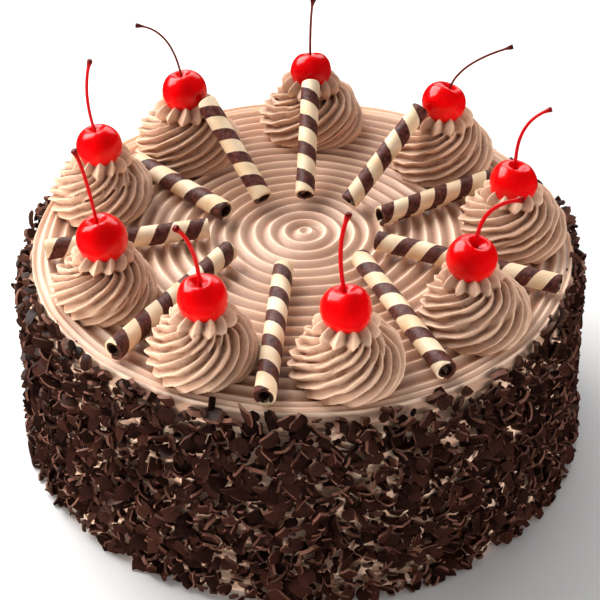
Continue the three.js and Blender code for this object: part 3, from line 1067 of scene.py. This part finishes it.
def wafer(i):
    start, end = wafer_ends(i)
    length = np.linalg.norm(end - start)
    along = (end - start) / length
    side = np.cross([0, 0, 1], along)
    side /= np.linalg.norm(side)
    up = np.cross(along, side)
    # the sheet's outer edge lies underneath
    rolled = math.radians(WAFER_EDGE + WAFER_EDGE_STEP * (i % WAFER_EDGE_ROUND))
    section_across, section_up, turns = wafer_section(rolled)
    body = np.linspace(1, length - 1, WAFER_ROWS)
    places = np.concatenate([[0, WAFER_BEVEL], body, [length - WAFER_BEVEL, length]])
    rings = []
    for place in places:
        centre = start + along * place
        ring = centre + np.outer(section_across, side) + np.outer(section_up, up)
        bevel = 1 - WAFER_BEVEL_SHARE * (place in (0, length))
        uneven = bevel * (1 + ripple(ring + 30 * i, *WAFER_RIPPLE))
        rings.append(centre + (ring - centre) * uneven[:, None])
    rows, columns = len(places), len(turns)
    points = np.concatenate(rings)
    faces = grid_faces(rows, columns) + end_caps(rows, columns)
    node = f"wafer_roll_{i + 1}"
    piece = make_piece(f"{node}_striped", points, faces, [WAFER], node, WAFER_SHARP_DEGREES)
    stripes = places / WAFERS[i].pitch + WAFERS[i].phase
    write_uv(piece, np.tile(turns, rows), np.repeat(stripes, columns))


# ---------------------------------------------------------------- the whole

cake_cream()
for flakes_name, flakes_kind in FLAKES.items():
    scatter(flakes_name, flakes_kind)
for number in range(len(ROSETTES)):
    rosette(number)
    cherry(number)
    stem(number)
for number in range(len(WAFERS)):
    wafer(number)

# ---------------------------------------------------------------- floor, light and camera

FLOOR_SIZE = 6000
WORLD_STRENGTH = 0.33
# the lamps' places and sizes are in metres and their powers in watts, and they aim at the axis, high or low
AIM_HIGH = (0, 0, 0.1)
AIM_LOW = (0, 0, 0.05)
WARM = (1, 0.95, 0.91)

# the camera looks down by the pitch at a point this far under the middle of the top
CAMERA_AIM_DROP = 36.8
CAMERA_DISTANCE = 674.2
CAMERA_PITCH = math.radians(37.3)
CAMERA_ROLL = math.radians(0.14)
CAMERA_LENS = 87


def floor():
    size = FLOOR_SIZE
    points = np.array([(-size, -size, 0), (size, -size, 0), (size, size, 0), (-size, size, 0)], float)
    mesh = bpy.data.meshes.new("floor")
    mesh.from_pydata((points * MM).tolist(), [], [(0, 1, 2, 3)])
    ground = bpy.data.objects.new("floor", mesh)
    bpy.context.scene.collection.objects.link(ground)
    surface = Surface("pale_floor")
    tone = surface.ramp(surface.noise(2), (0.3, srgb(240, 240, 240)), (0.7, srgb(246, 246, 246)))
    mesh.materials.append(surface.finish(tone, 0.6))
    ground.visible_glossy = False


def area_light(name, place, aim, size, power, colour=(1, 1, 1), mirrored=True):
    """A rectangular lamp that faces its aim, and that shiny pieces may mirror or not."""
    data = bpy.data.lights.new(name, "AREA")
    data.shape = "RECTANGLE"
    data.size, data.size_y = size
    data.energy = power
    data.color = colour
    lamp = bpy.data.objects.new(name, data)
    lamp.location = place
    lamp.visible_glossy = mirrored
    lamp.rotation_euler = (Vector(aim) - Vector(place)).to_track_quat("-Z", "Y").to_euler()
    bpy.context.scene.collection.objects.link(lamp)


def lighting():
    world = bpy.data.worlds.new("studio")
    bpy.context.scene.world = world
    world.use_nodes = True
    background = world.node_tree.nodes["Background"]
    background.inputs["Color"].default_value = (1, 1, 1, 1)
    background.inputs["Strength"].default_value = WORLD_STRENGTH
    world.cycles_visibility.glossy = False
    area_light("window", (-0.9, 0.75, 1.15), AIM_HIGH, (1.5, 1.1), 45, (1, 0.99, 0.97))
    area_light("back", (0.3, 1.5, 0.95), AIM_HIGH, (1.6, 1.0), 14)
    area_light("left", (-1.2, -0.45, 0.055), AIM_LOW, (0.9, 0.1), 20, WARM, mirrored=False)
    area_light("right", (1.1, -0.6, 0.06), AIM_LOW, (0.9, 0.11), 9, WARM, mirrored=False)
    bpy.context.scene.view_settings.view_transform = "Standard"


def camera():
    """A view from the front and above."""
    data = bpy.data.cameras.new("camera")
    data.sensor_width = 36
    data.lens = CAMERA_LENS
    data.clip_start, data.clip_end = 0.01, 50
    view = bpy.data.objects.new("camera", data)
    bpy.context.scene.collection.objects.link(view)
    aim = Vector((0, 0, (CAKE_HEIGHT - CAMERA_AIM_DROP) * MM))
    away = Vector((0, -math.cos(CAMERA_PITCH), math.sin(CAMERA_PITCH)))
    view.location = aim + CAMERA_DISTANCE * MM * away
    view.rotation_euler = (math.pi / 2 - CAMERA_PITCH, CAMERA_ROLL, 0)
    bpy.context.scene.camera = view


floor()
lighting()
camera()
